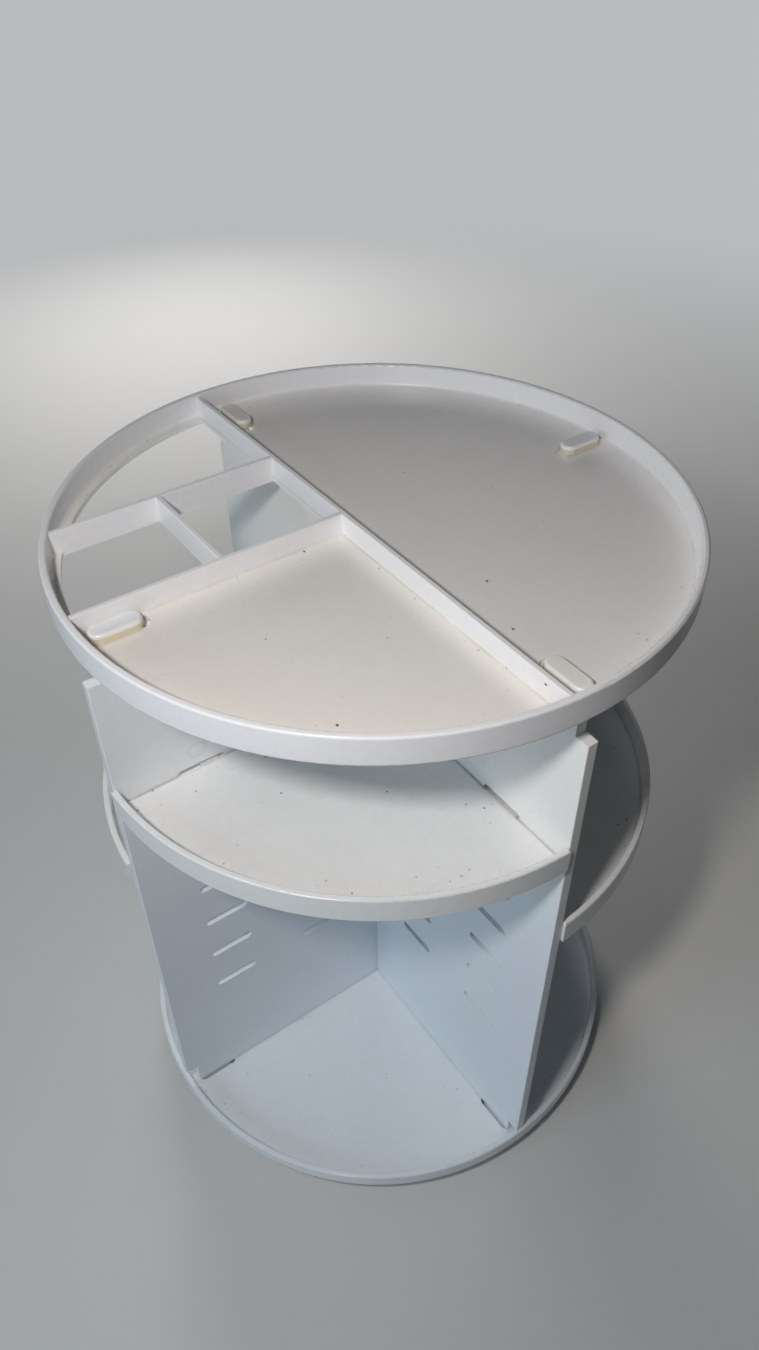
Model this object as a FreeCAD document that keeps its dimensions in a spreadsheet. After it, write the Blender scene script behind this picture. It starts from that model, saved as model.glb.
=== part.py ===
import FreeCAD
import Part
import Sketcher
import math
import os
from types import SimpleNamespace

# Rotating makeup organizer: a round base tray on a ball-bearing turntable carries two slotted
# plates that cross at the axis, four quarter-round shelves hooked into the plates' slots, and a
# round top tray with brush cells. Millimetres, Z up, origin on the table under the axis. The
# plates lie along X and Y, and the quarter that faces the camera in the photograph is -X -Y.

DOC = FreeCAD.newDocument("rotating_makeup_organizer")
SHEET = DOC.addObject("Spreadsheet::Sheet", "Sizes")

# Driving dimensions: name, value in millimetres (or a count), what it is.
SIZES = (
    ("tray_radius", 115.0, "outer radius of both trays and of the shelf rims"),
    ("tray_wall", 2.6, "thickness of the trays' rims"),
    ("tray_floor", 2.0, "thickness of the trays' floors"),
    ("base_depth", 9.0, "rim above the floor, base tray"),
    ("top_depth", 9.4, "rim above the floor, top tray"),
    ("rim_round", 0.8, "rounding of the rims' top edges"),
    ("base_foot_round", 5.0, "rounding of the base tray's lower outer edge"),
    ("top_foot_round", 1.0, "rounding of the top tray's lower outer edge"),
    ("floor_round", 1.4, "rounding between a tray's floor and its rim"),
    ("plate_height", 277.0, "plate between the two tray floors"),
    ("plate_thickness", 4.2, "thickness of the crossed plates"),
    ("plate_inset", 1.2, "plates' outer edges back from the trays' outer edge"),
    ("plate_edge_round", 0.4, "rounding of the plates' outer edges"),
    ("corner_notch_width", 5.7, "notch at each corner of a plate, along its width"),
    ("corner_notch_height", 13.8, "notch at a plate's corners, along its height"),
    ("foot_notch_height", 9.4, "notch at the two lower corners of the front and rear plate"),
    ("lap_clearance", 0.1, "play of the halved joint on each side"),
    ("tenon_length", 16.0, "tenon along the plate's width"),
    ("tenon_inset", 0.3, "tenon back from the corner notch"),
    ("tenon_clearance", 0.2, "play of a tenon at the outer end of its floor slot"),
    ("tenon_slot_room", 3.5, "floor slot longer than the tenon on its inner side"),
    ("tenon_slot_width", 6.6, "floor slot across the plate, open on both sides of it"),
    ("head_length", 18.6, "snap head along the plate's width, at the floor"),
    ("head_width", 7.4, "snap head across the plate, at the floor"),
    ("head_height", 3.5, "snap head above the floor"),
    ("head_draft", 4, "slope of a snap head's sides, in degrees"),
    ("head_round", 1.0, "rounding of a snap head's end face"),
    ("slot_rows", 7, "rows of shelf slots"),
    ("slot_pitch", 22.9, "row to row"),
    ("slot_length", 19.8, "shelf slot along the plate's width"),
    ("slot_height", 4.0, "shelf slot's height"),
    ("inner_slot_radius", 34.7, "centre of the inner slots from the axis"),
    ("outer_slot_inset", 33.5, "centre of the outer slots from the plate's outer edge"),
    ("shelf_floor", 2.0, "thickness of a shelf's floor and tabs"),
    ("shelf_rim_height", 10.3, "shelf's rim with its floor"),
    ("shelf_wall", 2.4, "thickness of a shelf's rim"),
    ("shelf_rim_round", 0.5, "rounding of a shelf rim's top edges"),
    ("shelf_clearance", 0.5, "shelf to plate"),
    ("shelf_end_gap", 0.3, "end of a shelf's rim to the plate"),
    ("long_tab_length", 15.8, "tab on one straight side of a shelf, along the slot"),
    ("short_tab_length", 7.2, "tab on a shelf's other straight side, along the slot"),
    ("tab_end_gap", 0.2, "end of a tab short of the plate's middle"),
    ("front_shelf_rows", 1, "slot rows from the top to the front shelf's own"),
    ("side_shelf_rows", 3, "slot rows from the top to that of the left, right and rear shelves"),
    ("divider_wall", 2.0, "thickness of the top tray's dividers"),
    ("divider_drop", 1.2, "dividers below the top of the rim"),
    ("divider_round", 0.4, "rounding of the dividers' top edges"),
    ("long_divider_offset", 10.3, "middle of the long divider from the axis"),
    ("cross_divider_offset", 4.8, "middle of the first cross divider from the axis"),
    ("brush_cell", 46.0, "clear side of the square brush cell"),
    ("cell_ledge", 3.0, "ledge left round the rim in the open cells"),
    ("foot_standoff", 1.0, "turntable plate above the table"),
    ("foot_radius", 6.0, "rubber foot"),
    ("foot_recess", 1.0, "depth of a foot's seat"),
    ("foot_inset", 10.0, "middle of a foot from the turntable plate's edge"),
    ("foot_count", 6, "rubber feet"),
    ("foot_clearance", 0.2, "foot in its seat, sideways"),
    ("turntable_radius", 72.0, "lower turntable plate"),
    ("turntable_floor", 3.5, "thickness of the lower turntable plate"),
    ("turntable_round", 0.8, "rounding of the turntable plate's outer edges"),
    ("bearing_gap", 4.5, "turntable plate to base tray"),
    ("race_radius", 46.0, "circle on which the balls run"),
    ("ball_radius", 2.5, "bearing ball"),
    ("ball_count", 20, "bearing balls"),
    ("race_clearance", 0.3, "ball to race"),
    ("cage_clearance", 0.1, "ball in its cage"),
    ("cage_width", 9.0, "ball cage across its ring"),
    ("cage_thickness", 1.6, "ball cage"),
    ("hub_radius", 6.0, "pivot hub under the base tray"),
    ("hub_clearance", 0.05, "running fit of the hub in the turntable plate"),
    ("collar_radius", 16.0, "collar round the hub"),
    ("axial_clearance", 0.3, "turning faces along the axis"),
    ("washer_radius", 11.0, "retaining washer"),
    ("washer_thickness", 1.0, "retaining washer"),
    ("washer_clearance", 0.5, "retaining washer in its recess"),
    ("screw_radius", 1.5, "pivot screw's shank"),
    ("screw_hole_clearance", 0.1, "screw in the washer"),
    ("screw_grip", 6.0, "screw in the hub"),
    ("screw_hole_room", 0.5, "pilot hole past the screw's end"),
    ("screw_head_radius", 3.0, "pivot screw's head"),
    ("screw_head_height", 1.6, "pivot screw's head"),
    ("recess_length", 3.2, "cross recess of the screw, across its arms"),
    ("recess_width", 0.8, "cross recess of the screw, one arm"),
    ("recess_depth", 0.9, "cross recess of the screw"),
)


class Size:
    """A number with the expression over the sheet's cells that it comes from."""

    def __init__(self, number, text):
        self.number = number
        self.text = text

    def _join(self, other, sign, number):
        return Size(number, f"({self.text} {sign} {as_size(other).text})")

    def __add__(self, other):
        return self._join(other, "+", self.number + as_size(other).number)

    def __sub__(self, other):
        return self._join(other, "-", self.number - as_size(other).number)

    def __mul__(self, other):
        return self._join(other, "*", self.number * as_size(other).number)

    def __truediv__(self, other):
        return self._join(other, "/", self.number / as_size(other).number)

    def __neg__(self):
        return as_size(0) - self

    def leg(self, other):
        """The other leg of a right triangle with this hypotenuse."""
        number = math.sqrt(self.number ** 2 - other.number ** 2)
        return Size(number, f"sqrt({self.text} ^ 2 - {other.text} ^ 2)")


def as_size(value):
    return value if isinstance(value, Size) else Size(value, str(value))


def fill_sheet():
    named = {}
    for row, (name, value, note) in enumerate(SIZES, start=1):
        SHEET.set(f"A{row}", str(value))
        SHEET.setAlias(f"A{row}", name)
        SHEET.set(f"B{row}", note)
        named[name] = Size(value, f"{SHEET.Name}.{name}")
    DOC.recompute()
    return SimpleNamespace(**named)


d = fill_sheet()
ZERO = as_size(0)

# What follows from the driving dimensions, shared by the pieces that meet.
TURNTABLE_TOP = d.foot_standoff + d.turntable_floor
BASE_UNDERSIDE = TURNTABLE_TOP + d.bearing_gap
BASE_FLOOR = BASE_UNDERSIDE + d.tray_floor
PLATE_MIDDLE = BASE_FLOOR + d.plate_height / 2
TOP_UNDERSIDE = BASE_FLOOR + d.plate_height
FOOT_CIRCLE = d.turntable_radius - d.foot_inset
BALL_HEIGHT = TURNTABLE_TOP + d.bearing_gap / 2
RACE_GROOVE = d.ball_radius + d.race_clearance
TRAY_BORE = d.tray_radius - d.tray_wall
SHELF_BORE = d.tray_radius - d.shelf_wall
PLATE_RADIUS = d.tray_radius - d.plate_inset
HALF_PLATE = d.plate_thickness / 2
PLATE_ENDS = 4
PLATE_SHOULDER = PLATE_RADIUS - d.corner_notch_width
TENON_OUTER = PLATE_SHOULDER - d.tenon_inset
TENON_MIDDLE = TENON_OUTER - d.tenon_length / 2
OUTER_SLOT_RADIUS = PLATE_RADIUS - d.outer_slot_inset
WASHER_UNDERSIDE = d.screw_head_height + d.foot_standoff - d.axial_clearance
HUB_END = WASHER_UNDERSIDE + d.washer_thickness
HUB_LENGTH = BASE_UNDERSIDE - HUB_END


def point(x, y):
    return FreeCAD.Vector(as_size(x).number, as_size(y).number, 0)


def bind(thing, name, size):
    thing.setExpression(name, as_size(size).text)


def new_body(label):
    body = DOC.addObject("PartDesign::Body", label)
    body.Label = label
    return body


def origin_of(body, role):
    return next(item for item in body.Origin.OriginFeatures if item.Role == role)


def new_sketch(body, name, plane="XY_Plane", lift=ZERO):
    """A sketch on one of the body's own origin planes, lifted along the plane's normal."""
    sketch = body.newObject("Sketcher::SketchObject", f"{body.Name}_{name}")
    sketch.AttachmentSupport = [(origin_of(body, plane), "")]
    sketch.MapMode = "FlatFace"
    bind(sketch, "AttachmentOffset.Base.z", lift)
    return sketch


def hold(sketch, kind, *where, size):
    index = sketch.addConstraint(Sketcher.Constraint(kind, *where, as_size(size).number))
    bind(sketch, f"Constraints[{index}]", size)


def pin(sketch, geometry, end, x, y):
    """Hold one end of a line or arc, or its centre, at x, y from the sketch's origin."""
    for kind, axis, value in (("DistanceX", -2, as_size(x)), ("DistanceY", -1, as_size(y))):
        if value.number == 0:
            sketch.addConstraint(Sketcher.Constraint("PointOnObject", geometry, end, axis))
        else:
            hold(sketch, kind, -1, 1, geometry, end, size=value)


def polygon(sketch, corners):
    first = sketch.GeometryCount
    count = len(corners)
    for index, corner in enumerate(corners):
        following = corners[(index + 1) % count]
        sketch.addGeometry(Part.LineSegment(point(*corner), point(*following)))
    for index, corner in enumerate(corners):
        following = first + (index + 1) % count
        sketch.addConstraint(Sketcher.Constraint("Coincident", first + index, 2, following, 1))
        pin(sketch, first + index, 1, *corner)


def rectangle(sketch, low, high):
    polygon(sketch, (low, (high[0], low[1]), high, (low[0], high[1])))


def circle(sketch, x, y, radius):
    number = as_size(radius).number
    index = sketch.addGeometry(Part.Circle(point(x, y), FreeCAD.Vector(0, 0, 1), number))
    pin(sketch, index, 3, x, y)
    hold(sketch, "Radius", index, size=radius)


def arc(sketch, x, y, radius, start, stop):
    ring = Part.Circle(point(x, y), FreeCAD.Vector(0, 0, 1), as_size(radius).number)
    return sketch.addGeometry(Part.ArcOfCircle(ring, start, stop))


def line(sketch, start, stop):
    return sketch.addGeometry(Part.LineSegment(start, stop))


def stadium(sketch, low, high, height, width):
    """Round-ended slot along the sketch's X axis, from low to high, tip to tip."""
    radius = width / 2
    quarter = math.pi / 2
    left = arc(sketch, low + radius, height, radius, quarter, 3 * quarter)
    right = arc(sketch, high - radius, height, radius, -quarter, quarter)
    lower = line(sketch, point(low + radius, height - radius), point(high - radius, height - radius))
    upper = line(sketch, point(high - radius, height + radius), point(low + radius, height + radius))
    for one, other in ((left, lower), (lower, right), (right, upper), (upper, left)):
        sketch.addConstraint(Sketcher.Constraint("Tangent", one, 2, other, 1))
    sketch.addConstraint(Sketcher.Constraint("Equal", left, right))
    pin(sketch, left, 3, low + radius, height)
    pin(sketch, right, 3, high - radius, height)
    hold(sketch, "Radius", left, size=radius)


def quarter_disc(sketch, corner_x, corner_y, radius, turned=False):
    """Part of a disc past a corner: lines along X and Y from the corner, closed by the disc's arc.

    turned is for a corner whose line along X runs to -X.
    """
    reach_x = radius.leg(corner_y)
    if turned:
        reach_x = -reach_x
    reach_y = radius.leg(corner_x)
    corner = point(corner_x, corner_y)
    end_x = point(reach_x, corner_y)
    end_y = point(corner_x, reach_y)
    along_x = line(sketch, corner, end_x)
    along_y = line(sketch, end_y, corner)
    ends = ((along_x, 2, end_x), (along_y, 1, end_y))
    first, last = reversed(ends) if turned else ends
    start = math.atan2(first[2].y, first[2].x)
    stop = math.atan2(last[2].y, last[2].x)
    bow = arc(sketch, 0, 0, radius, start, stop)
    sketch.addConstraint(Sketcher.Constraint("Coincident", along_y, 2, along_x, 1))
    sketch.addConstraint(Sketcher.Constraint("Coincident", bow, 1, first[0], first[1]))
    sketch.addConstraint(Sketcher.Constraint("Coincident", bow, 2, last[0], last[1]))
    sketch.addConstraint(Sketcher.Constraint("Horizontal", along_x))
    sketch.addConstraint(Sketcher.Constraint("Vertical", along_y))
    sketch.addConstraint(Sketcher.Constraint("Coincident", bow, 3, -1, 1))
    hold(sketch, "Radius", bow, size=radius)
    pin(sketch, along_x, 1, corner_x, corner_y)


def quarter_ring(sketch, edge, inner, outer):
    """Quarter of a ring whose two ends lie at the same distance from the X and Y axes."""
    bows = []
    for radius in (inner, outer):
        reach = radius.leg(edge).number
        start = math.atan2(edge.number, reach)
        bow = arc(sketch, 0, 0, radius, start, math.pi / 2 - start)
        sketch.addConstraint(Sketcher.Constraint("Coincident", bow, 3, -1, 1))
        hold(sketch, "Radius", bow, size=radius)
        bows.append(bow)
    end_x = line(sketch, point(inner.leg(edge), edge), point(outer.leg(edge), edge))
    end_y = line(sketch, point(edge, inner.leg(edge)), point(edge, outer.leg(edge)))
    for end, tip in ((end_x, 1), (end_y, 2)):
        sketch.addConstraint(Sketcher.Constraint("Coincident", end, 1, bows[0], tip))
        sketch.addConstraint(Sketcher.Constraint("Coincident", end, 2, bows[1], tip))
    sketch.addConstraint(Sketcher.Constraint("Horizontal", end_x))
    sketch.addConstraint(Sketcher.Constraint("Vertical", end_y))
    hold(sketch, "DistanceY", -1, 1, end_x, 1, size=edge)
    hold(sketch, "DistanceX", -1, 1, end_y, 1, size=edge)


def pad(body, sketch, length, both_ways=False):
    feature = body.newObject("PartDesign::Pad", f"{sketch.Name}_pad")
    feature.Profile = sketch
    feature.Midplane = both_ways
    bind(feature, "Length", length)
    DOC.recompute()
    return feature


def pocket(body, sketch, depth=None, upwards=False):
    """Cut from the sketch: right through both ways, or to a depth below or above its plane."""
    before = body.Shape.Volume
    feature = body.newObject("PartDesign::Pocket", f"{sketch.Name}_pocket")
    feature.Profile = sketch
    if depth is None:
        feature.Type = "ThroughAll"
        feature.Midplane = True
    else:
        feature.Reversed = upwards
        bind(feature, "Length", depth)
    DOC.recompute()
    if not body.Shape.Volume < before:
        raise RuntimeError(f"{feature.Name} cuts nothing")
    return feature


def turned(body, sketch, kind="PartDesign::Revolution"):
    """Full turn of a half section about the body's Z axis."""
    feature = body.newObject(kind, f"{sketch.Name}_turned")
    feature.Profile = sketch
    feature.ReferenceAxis = (sketch, ["V_Axis"])
    feature.Angle = 360
    DOC.recompute()
    return feature


def polar(body, feature, count):
    pattern = body.newObject("PartDesign::PolarPattern", f"{feature.Name}_round")
    pattern.Originals = [feature]
    pattern.Axis = (origin_of(body, "Z_Axis"), [""])
    pattern.Angle = 360
    bind(pattern, "Occurrences", count)
    body.Tip = pattern
    DOC.recompute()
    return pattern


def fillet(body, size, wanted):
    """Round the edges of the body's last feature that wanted() picks."""
    base = body.Tip
    names = []
    for index, edge in enumerate(base.Shape.Edges, start=1):
        if wanted(edge):
            names.append(f"Edge{index}")
    if not names:
        raise RuntimeError(f"{body.Label} has no edges to round")
    feature = body.newObject("PartDesign::Fillet", f"{base.Name}_rounded")
    feature.Base = (base, names)
    bind(feature, "Radius", size)
    DOC.recompute()
    return feature


def near(one, other):
    return abs(one - as_size(other).number) < 1e-4


def lies_at(edge, height):
    """The edge lies in the level plane at this height."""
    return near(edge.BoundBox.ZMin, height) and near(edge.BoundBox.ZMax, height)


def is_round(edge, radius, height):
    """The edge is a full circle or an arc of this radius in the level plane at this height."""
    curve = edge.Curve
    return lies_at(edge, height) and isinstance(curve, Part.Circle) and near(curve.Radius, radius)


def is_straight(edge):
    return isinstance(edge.Curve, Part.Line)


def place(thing, x=ZERO, y=ZERO, z=ZERO, rotation=None):
    thing.Placement = FreeCAD.Placement(FreeCAD.Vector(0, 0, 0), rotation or FreeCAD.Rotation())
    for axis, value in (("x", x), ("y", y), ("z", z)):
        bind(thing, f"Placement.Base.{axis}", value)


def round_place(thing, radius, angle, z):
    """Stand a piece on a circle about the axis, at an angle in degrees."""
    across = Size(radius.number * math.cos(math.radians(angle)), f"{radius.text} * cos({angle} deg)")
    along = Size(radius.number * math.sin(math.radians(angle)), f"{radius.text} * sin({angle} deg)")
    place(thing, across, along, z)


def turntable_plate():
    """Fixed lower plate: seats for the feet, ball race, and a collar with the bore for the hub."""
    body = new_body("turntable_plate")
    bore = d.hub_radius + d.hub_clearance
    recess = d.washer_radius + d.washer_clearance
    recess_top = HUB_END + d.axial_clearance - d.foot_standoff
    collar_top = BASE_UNDERSIDE - d.axial_clearance - d.foot_standoff
    section = new_sketch(body, "section", "XZ_Plane")
    polygon(section, (
        (bore, recess_top), (recess, recess_top), (recess, ZERO), (d.turntable_radius, ZERO),
        (d.turntable_radius, d.turntable_floor), (d.collar_radius, d.turntable_floor),
        (d.collar_radius, collar_top), (bore, collar_top),
    ))
    turned(body, section)
    race = new_sketch(body, "race", "XZ_Plane")
    circle(race, d.race_radius, BALL_HEIGHT - d.foot_standoff, RACE_GROOVE)
    turned(body, race, "PartDesign::Groove")
    seat = new_sketch(body, "foot_seat")
    circle(seat, FOOT_CIRCLE, ZERO, d.foot_radius + d.foot_clearance)
    polar(body, pocket(body, seat, d.foot_recess, upwards=True), d.foot_count)
    fillet(body, d.turntable_round, lambda edge: any(
        is_round(edge, d.turntable_radius, height) for height in (ZERO, d.turntable_floor)))
    place(body, z=d.foot_standoff)
    return [body]


def rubber_feet():
    """Round rubber pads glued into the seats under the lower plate; the organizer stands on them."""
    feet = []
    count = d.foot_count.number
    for number in range(count):
        label = f"rubber_foot_{number + 1}"
        foot = DOC.addObject("Part::Cylinder", label)
        foot.Label = label
        bind(foot, "Radius", d.foot_radius)
        bind(foot, "Height", d.foot_standoff + d.foot_recess)
        round_place(foot, FOOT_CIRCLE, 360 / count * number, ZERO)
        feet.append(foot)
    return feet


def ball_cage():
    """Flat ring that keeps the balls apart; it turns half as far as the base tray."""
    body = new_body("ball_cage")
    ring = new_sketch(body, "ring")
    circle(ring, ZERO, ZERO, d.race_radius - d.cage_width / 2)
    circle(ring, ZERO, ZERO, d.race_radius + d.cage_width / 2)
    pad(body, ring, d.cage_thickness, both_ways=True)
    hole = new_sketch(body, "hole")
    circle(hole, d.race_radius, ZERO, d.ball_radius + d.cage_clearance)
    polar(body, pocket(body, hole), d.ball_count)
    place(body, z=BALL_HEIGHT)
    return [body]


def bearing_balls():
    """Steel balls between the two races, one group of separate solids."""
    balls = []
    count = d.ball_count.number
    for number in range(count):
        ball = DOC.addObject("Part::Sphere", f"ball_{number + 1}")
        bind(ball, "Radius", d.ball_radius)
        round_place(ball, d.race_radius, 360 / count * number, BALL_HEIGHT)
        balls.append(ball)
    group = DOC.addObject("Part::Compound", "bearing_balls")
    group.Label = "bearing_balls"
    group.Links = balls
    return [group]


def retaining_washer():
    """Steel washer under the hub; it keeps the tray from lifting off the lower plate."""
    body = new_body("retaining_washer")
    ring = new_sketch(body, "ring")
    circle(ring, ZERO, ZERO, d.screw_radius + d.screw_hole_clearance)
    circle(ring, ZERO, ZERO, d.washer_radius)
    pad(body, ring, d.washer_thickness)
    place(body, z=WASHER_UNDERSIDE)
    return [body]


def pivot_screw():
    """Cross-recessed screw driven up into the hub from below."""
    body = new_body("pivot_screw")
    tip = d.screw_head_height + d.washer_thickness + d.screw_grip
    section = new_sketch(body, "section", "XZ_Plane")
    polygon(section, (
        (ZERO, ZERO), (d.screw_head_radius, ZERO), (d.screw_head_radius, d.screw_head_height),
        (d.screw_radius, d.screw_head_height), (d.screw_radius, tip), (ZERO, tip),
    ))
    turned(body, section)
    arm = d.recess_length / 2
    half = d.recess_width / 2
    cross = new_sketch(body, "recess")
    polygon(cross, (
        (arm, -half), (arm, half), (half, half), (half, arm), (-half, arm), (-half, half),
        (-arm, half), (-arm, -half), (-half, -half), (-half, -arm), (half, -arm), (half, -half),
    ))
    pocket(body, cross, d.recess_depth, upwards=True)
    place(body, z=WASHER_UNDERSIDE - d.screw_head_height)
    return [body]


def tenon_slots(body):
    """Four round-ended floor slots for the plates' tenons, longer inwards and wider than these."""
    slot = new_sketch(body, "tenon_slot")
    low = TENON_OUTER - d.tenon_length - d.tenon_slot_room
    high = TENON_OUTER + d.tenon_clearance
    stadium(slot, low, high, ZERO, d.tenon_slot_width)
    polar(body, pocket(body, slot), PLATE_ENDS)


def base_tray():
    """Turning tray with a rim, floor slots for the plates, the upper ball race and the hub."""
    body = new_body("base_tray")
    rim = d.tray_floor + d.base_depth
    pilot_top = d.screw_grip + d.screw_hole_room - HUB_LENGTH
    section = new_sketch(body, "section", "XZ_Plane")
    polygon(section, (
        (ZERO, pilot_top), (d.screw_radius, pilot_top), (d.screw_radius, -HUB_LENGTH),
        (d.hub_radius, -HUB_LENGTH), (d.hub_radius, ZERO), (d.tray_radius, ZERO),
        (d.tray_radius, rim), (TRAY_BORE, rim), (TRAY_BORE, d.tray_floor), (ZERO, d.tray_floor),
    ))
    turned(body, section)
    race = new_sketch(body, "race", "XZ_Plane")
    circle(race, d.race_radius, BALL_HEIGHT - BASE_UNDERSIDE, RACE_GROOVE)
    turned(body, race, "PartDesign::Groove")
    round_rim(body, rim, d.base_foot_round)
    tenon_slots(body)
    place(body, z=BASE_UNDERSIDE)
    return [body]


def round_rim(body, rim, foot_round):
    """Round a tray's rim, the edge under it and the corner where the floor meets it."""
    fillet(body, d.floor_round, lambda edge: is_round(edge, TRAY_BORE, d.tray_floor))
    fillet(body, foot_round, lambda edge: is_round(edge, d.tray_radius, ZERO))
    fillet(body, d.rim_round, lambda edge: any(
        is_round(edge, radius, rim) for radius in (TRAY_BORE, d.tray_radius)))


def cross_plate(label, rotation, halved_end_notch, whole_end_notch):
    """Slotted plate the full width of the organizer, halved into the other one at the axis.

    One plate stands upside down in the other, so the tenons and the slot rows are alike above
    and below the plate's middle. The corner notches differ in height between its two ends.
    """
    body = new_body(label)
    half = d.plate_height / 2
    high = half - halved_end_notch
    low = whole_end_notch - half
    outline = new_sketch(body, "outline", "XZ_Plane")
    polygon(outline, (
        (PLATE_SHOULDER, -half), (PLATE_SHOULDER, low), (PLATE_RADIUS, low),
        (PLATE_RADIUS, high), (PLATE_SHOULDER, high), (PLATE_SHOULDER, half),
        (-PLATE_SHOULDER, half), (-PLATE_SHOULDER, high), (-PLATE_RADIUS, high),
        (-PLATE_RADIUS, low), (-PLATE_SHOULDER, low), (-PLATE_SHOULDER, -half),
    ))
    pad(body, outline, d.plate_thickness, both_ways=True)
    fillet(body, d.plate_edge_round, is_outer_edge)
    halving = new_sketch(body, "halving", "XZ_Plane")
    mouth = HALF_PLATE + d.lap_clearance
    rectangle(halving, (-mouth, -d.lap_clearance), (mouth, half))
    pocket(body, halving)
    slot_row = new_sketch(body, "slot_row", "XZ_Plane")
    shelf_slots(slot_row)
    lowest = pocket(body, slot_row)
    rows = body.newObject("PartDesign::LinearPattern", f"{label}_slot_rows")
    rows.Originals = [lowest]
    rows.Direction = (origin_of(body, "Z_Axis"), [""])
    bind(rows, "Length", d.slot_pitch * (d.slot_rows - 1))
    bind(rows, "Occurrences", d.slot_rows)
    body.Tip = rows
    DOC.recompute()
    tenons(body, half)
    place(body, z=PLATE_MIDDLE, rotation=rotation)
    return [body]


def is_outer_edge(edge):
    """A plate's upright outer edge, between its corner notches."""
    box = edge.BoundBox
    upright = near(abs(box.XMin), PLATE_RADIUS) and near(box.XMax, box.XMin)
    return upright and box.ZLength > d.plate_thickness.number


def shelf_slots(sketch):
    """The lowest row of a plate's shelf slots: an outer and an inner one on either side."""
    height = -(d.slot_pitch * (d.slot_rows - 1) / 2)
    reach = d.slot_length / 2
    for middle in (OUTER_SLOT_RADIUS, d.inner_slot_radius):
        for low, high in ((middle - reach, middle + reach), (-middle - reach, -middle + reach)):
            stadium(sketch, low, high, height, d.slot_height)


def tenons(body, half):
    """Tenons with snap heads on the plate's top edge, mirrored to its bottom edge."""
    features = []
    stem = new_sketch(body, "stem", lift=half)
    head = new_sketch(body, "head", lift=half + d.tray_floor)
    for sketch, length, width, height in (
        (stem, d.tenon_length, d.plate_thickness, d.tray_floor),
        (head, d.head_length, d.head_width, d.head_height),
    ):
        reach = length / 2
        stadium(sketch, TENON_MIDDLE - reach, TENON_MIDDLE + reach, ZERO, width)
        stadium(sketch, -TENON_MIDDLE - reach, -TENON_MIDDLE + reach, ZERO, width)
        features.append(pad(body, sketch, height))
    bind(features[-1], "TaperAngle", -d.head_draft)
    DOC.recompute()
    mirror = body.newObject("PartDesign::Mirrored", f"{body.Name}_tenons_below")
    mirror.Originals = features
    mirror.MirrorPlane = (origin_of(body, "XY_Plane"), [""])
    body.Tip = mirror
    DOC.recompute()
    tip = half + d.tray_floor + d.head_height
    fillet(body, d.head_round, lambda edge: lies_at(edge, tip) or lies_at(edge, -tip))


def shelf(label, row, quarter_turns):
    """Quarter-round shelf with a rim on its arc and two tabs on each straight side.

    The tabs along its X side are short and end at the middle of their slots, and those along its
    Y side are long, so that the slots on the X side stay half open.
    """
    body = new_body(label)
    edge = HALF_PLATE + d.shelf_clearance
    floor = new_sketch(body, "floor")
    quarter_disc(floor, edge, edge, d.tray_radius)
    pad(body, floor, d.shelf_floor)
    rim = new_sketch(body, "rim")
    quarter_ring(rim, HALF_PLATE + d.shelf_end_gap, SHELF_BORE, d.tray_radius)
    pad(body, rim, d.shelf_rim_height)
    tabs = new_sketch(body, "tabs")
    reach = d.long_tab_length / 2
    root = edge + d.shelf_floor
    for middle in (OUTER_SLOT_RADIUS, d.inner_slot_radius):
        rectangle(tabs, (middle - d.short_tab_length, d.tab_end_gap), (middle, root))
        rectangle(tabs, (d.tab_end_gap, middle - reach), (root, middle + reach))
    pad(body, tabs, d.shelf_floor)
    fillet(body, d.shelf_rim_round, lambda edge: lies_at(edge, d.shelf_rim_height))
    seat = -(d.slot_height / 2)
    top_row = PLATE_MIDDLE + d.slot_pitch * (d.slot_rows - 1) / 2
    height = top_row - d.slot_pitch * (row - 1) + seat
    turn = FreeCAD.Rotation(FreeCAD.Vector(0, 0, 1), 90 * quarter_turns)
    place(body, z=height, rotation=turn)
    return [body]


def top_tray():
    """Round tray whose dividers part an open brush holder from two shallow trays.

    A long divider runs from rim to rim. Two cross dividers leave it for the -X side of the rim,
    a short one stands between them, and the floor is open behind the first cross divider.
    """
    body = new_body("top_tray")
    rim = d.tray_floor + d.top_depth
    section = new_sketch(body, "section", "XZ_Plane")
    polygon(section, (
        (ZERO, ZERO), (d.tray_radius, ZERO), (d.tray_radius, rim), (TRAY_BORE, rim),
        (TRAY_BORE, d.tray_floor), (ZERO, d.tray_floor),
    ))
    turned(body, section)
    round_rim(body, rim, d.top_foot_round)
    half = d.divider_wall / 2
    long_middle = -d.long_divider_offset
    near_middle = d.cross_divider_offset
    spacing = d.brush_cell + d.divider_wall
    far_middle = near_middle + spacing
    short_middle = long_middle - spacing
    cells = new_sketch(body, "open_cells")
    quarter_disc(cells, long_middle - half, near_middle + half, TRAY_BORE - d.cell_ledge, turned=True)
    pocket(body, cells)
    in_rim = d.tray_radius - d.tray_wall / 2
    long_reach = in_rim.leg(d.long_divider_offset)
    dividers = (
        ("long", (long_middle - half, -long_reach), (long_middle + half, long_reach)),
        ("near", (-in_rim.leg(near_middle), near_middle - half), (long_middle, near_middle + half)),
        ("far", (-in_rim.leg(far_middle), far_middle - half), (long_middle, far_middle + half)),
        ("short", (short_middle - half, near_middle), (short_middle + half, far_middle)),
    )
    for name, low, high in dividers:
        wall = new_sketch(body, f"{name}_divider")
        rectangle(wall, low, high)
        pad(body, wall, rim - d.divider_drop)
    fillet(body, d.divider_round, lambda edge: lies_at(edge, rim - d.divider_drop) and is_straight(edge))
    tenon_slots(body)
    place(body, z=TOP_UNDERSIDE)
    return [body]


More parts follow.
